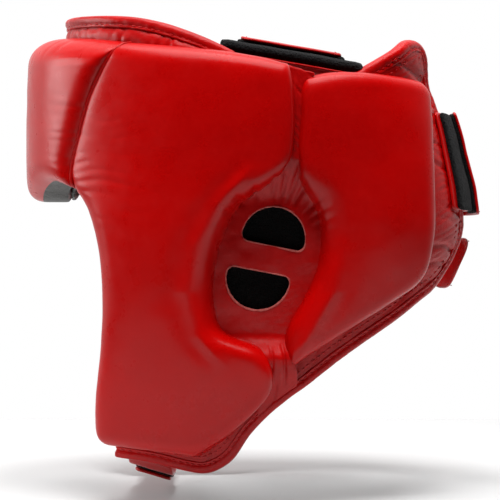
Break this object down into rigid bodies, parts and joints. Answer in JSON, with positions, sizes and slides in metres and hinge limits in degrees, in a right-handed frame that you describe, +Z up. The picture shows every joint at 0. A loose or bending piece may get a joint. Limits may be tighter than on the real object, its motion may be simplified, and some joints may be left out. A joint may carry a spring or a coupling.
{
  "type": "boxing headgear",
  "caption": "Padded leather head guard with brow, cheek, ear and rear pads, half-moon ear openings, and hook-and-loop crown, rear and chin straps.",
  "frame": {"origin": "middle of the head cavity, level with the top of the lower ear openings", "axes": "+X towards the wearer's left, -Y towards the face opening, +Z up through the crown"},
  "size_m": [0.2016, 0.2566, 0.2618],
  "materials": {
    "red_leather": "satin",
    "trim_leather": "satin",
    "lining": "satin",
    "foam": "matte",
    "hook_and_loop": "matte"
  },
  "bodies": {
    "shell": {"brow_cover": "red_leather", "brow_foam": "foam", "brow_lining": "lining", "left_side_cover": "red_leather", "left_side_foam": "foam", "left_side_lining": "lining", "left_ear_panel": "red_leather", "left_cheek_binding": "trim_leather", "right_side_cover": "red_leather", "right_side_foam": "foam", "right_side_lining": "lining", "right_ear_panel": "red_leather", "right_cheek_binding": "trim_leather", "crown_collar": "red_leather", "crown_collar_binding": "trim_leather", "crown_tab": "red_leather", "crown_tab_loop": "hook_and_loop", "chin_tab": "red_leather", "chin_tab_loop": "hook_and_loop"},
    "left_wing": {"left_rear_cover": "red_leather", "left_rear_foam": "foam", "left_rear_lining": "lining", "left_rear_flap": "trim_leather", "left_wing_binding": "trim_leather", "rear_tab": "red_leather", "rear_tab_loop": "hook_and_loop"},
    "right_wing": {"right_rear_cover": "red_leather", "right_rear_foam": "foam", "right_rear_lining": "lining", "right_rear_flap": "trim_leather", "right_wing_binding": "trim_leather", "rear_strap_base": "red_leather", "nape_tongue": "red_leather"},
    "rear_strap": {"rear_strap": "red_leather", "rear_strap_hook": "hook_and_loop"},
    "crown_strap": {"crown_strap": "red_leather", "crown_strap_hook": "hook_and_loop"},
    "chin_strap": {"chin_strap": "red_leather", "chin_strap_hook": "hook_and_loop"}
  },
  "joints": [
    {"name": "right_wing_flex", "type": "hinge", "parent": "shell", "child": "right_wing", "pos_m": [-0.0742, 0.0199, 0], "axis": [-0.0234, 0.0484, 0.9986], "range_deg": [0, 28]},
    {"name": "left_wing_flex", "type": "hinge", "parent": "shell", "child": "left_wing", "pos_m": [0.0742, 0.0199, 0], "axis": [-0.0234, -0.0484, -0.9986], "range_deg": [0, 12]},
    {"name": "rear_strap_peel", "type": "hinge", "parent": "right_wing", "child": "rear_strap", "pos_m": [-0.0324, 0.113, 0.049], "axis": [0.0604, -0.1997, 0.978], "range_deg": [0, 100]},
    {"name": "crown_strap_peel", "type": "hinge", "parent": "shell", "child": "crown_strap", "pos_m": [-0.068, 0.0225, 0.1025], "axis": [0, -0.9903, 0.1386], "range_deg": [0, 100]},
    {"name": "chin_strap_peel", "type": "hinge", "parent": "shell", "child": "chin_strap", "pos_m": [-0.052, -0.054, -0.1184], "axis": [0, 0.9578, -0.2873], "range_deg": [0, 85]}
  ],
  "couplings": [
    {"joint": "left_wing_flex", "follows": "right_wing_flex", "ratio": 0.4}
  ]
}
